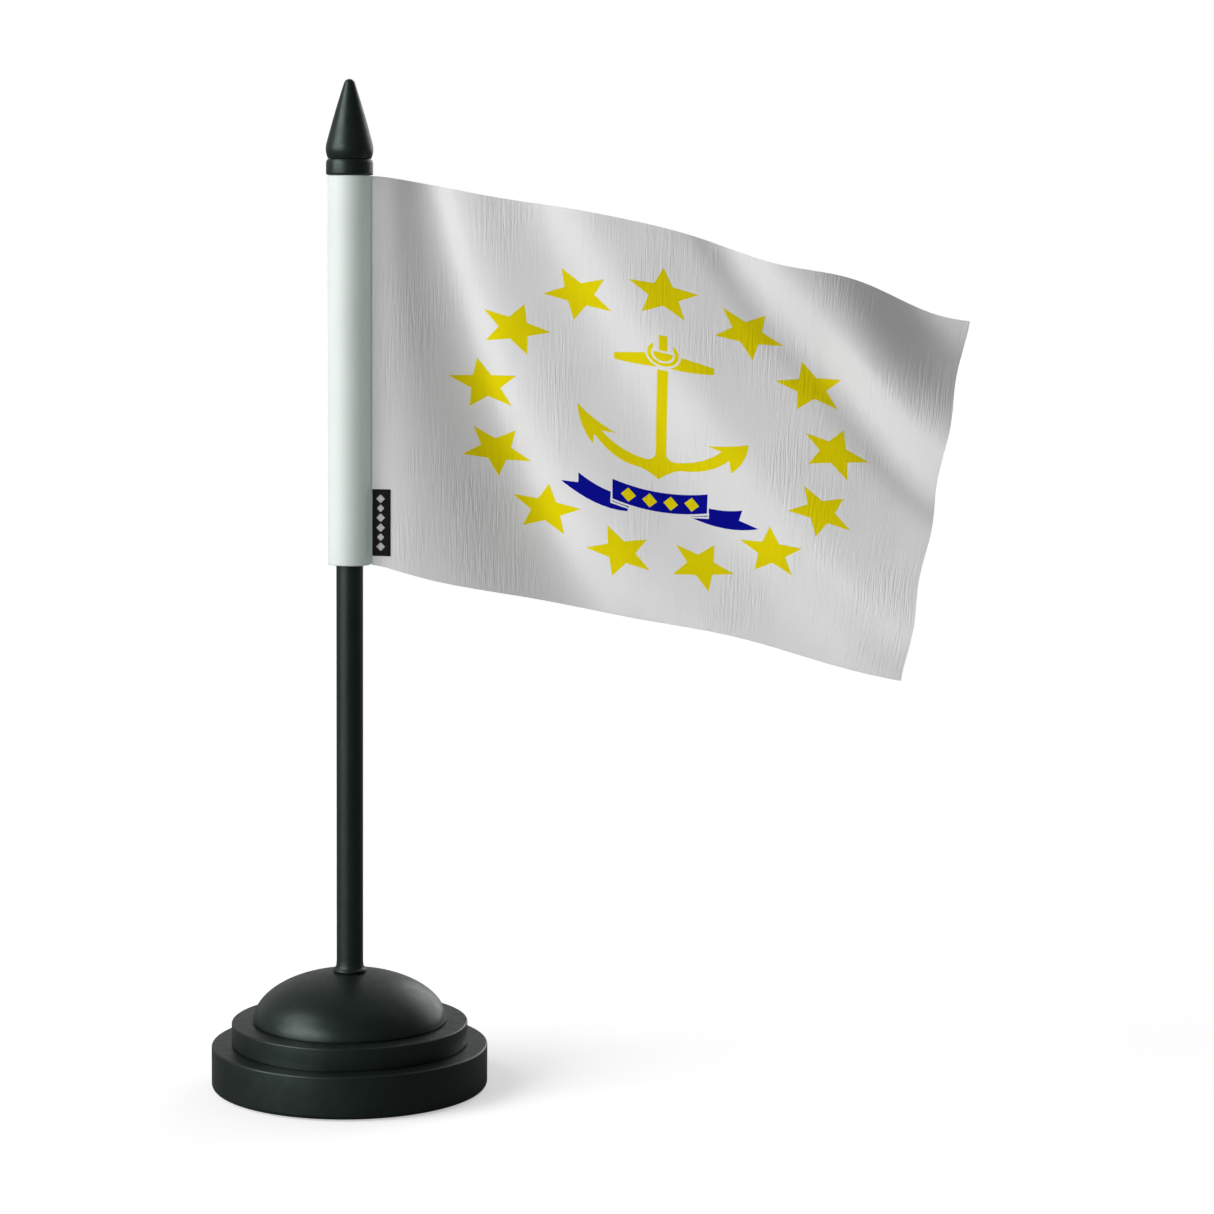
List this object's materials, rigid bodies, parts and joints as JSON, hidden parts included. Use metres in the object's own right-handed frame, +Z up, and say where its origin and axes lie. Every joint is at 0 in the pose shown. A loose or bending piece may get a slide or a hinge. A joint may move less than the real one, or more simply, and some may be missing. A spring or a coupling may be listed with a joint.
{
  "type": "desk flag stand",
  "caption": "Small table flag on a swivelling sleeve, with a plug-in pole, a pull-off spear finial and a round weighted base of three tiers.",
  "frame": {"origin": "centre of the base's underside, on the pole's axis", "axes": "+Z up along the pole; the flag flies towards +X and its face looks towards -Y"},
  "size_m": [0.1963, 0.073, 0.2646],
  "materials": {
    "base_gloss": "satin gloss, very dark green-black",
    "pole_paint": "satin, very dark green-black",
    "brass": "turned",
    "steel": "turned",
    "ballast_iron": "as cast",
    "plate_plastic": "matte",
    "pad_foam": "fine closed-cell foam",
    "sleeve_plastic": "satin, pale mint white",
    "bush_plastic": "smooth",
    "flag_cloth": "printed polyester, finely ribbed",
    "label_weave": "woven tape"
  },
  "bodies": {
    "base": {"base_plinth": "base_gloss", "base_step": "base_gloss", "base_dome": "base_gloss", "pole_socket": "brass", "socket_washer": "steel", "socket_nut": "steel", "ballast_ring": "ballast_iron", "bottom_plate": "plate_plastic", "plate_screws": "steel", "base_pad": "pad_foam"},
    "pole": {"pole_stud": "steel", "pole_collar": "pole_paint", "pole_tube": "pole_paint"},
    "finial": {"finial_pin": "steel", "finial_ring": "base_gloss", "finial_spear": "base_gloss"},
    "flag": {"flag_sleeve": "sleeve_plastic", "top_bush": "bush_plastic", "bottom_bush": "bush_plastic", "flag_cloth": "flag_cloth", "label_tab": "label_weave"}
  },
  "joints": [
    {"name": "pole_lift", "type": "slide", "parent": "base", "child": "pole", "axis": [0, 0, 1], "range_m": [0, 0.03]},
    {"name": "finial_pull", "type": "slide", "parent": "pole", "child": "finial", "axis": [0, 0, 1], "range_m": [0, 0.015]},
    {"name": "flag_swivel", "type": "hinge", "parent": "pole", "child": "flag", "pos_m": [0, 0, 0.19], "axis": [0, 0, 1], "continuous": true}
  ]
}
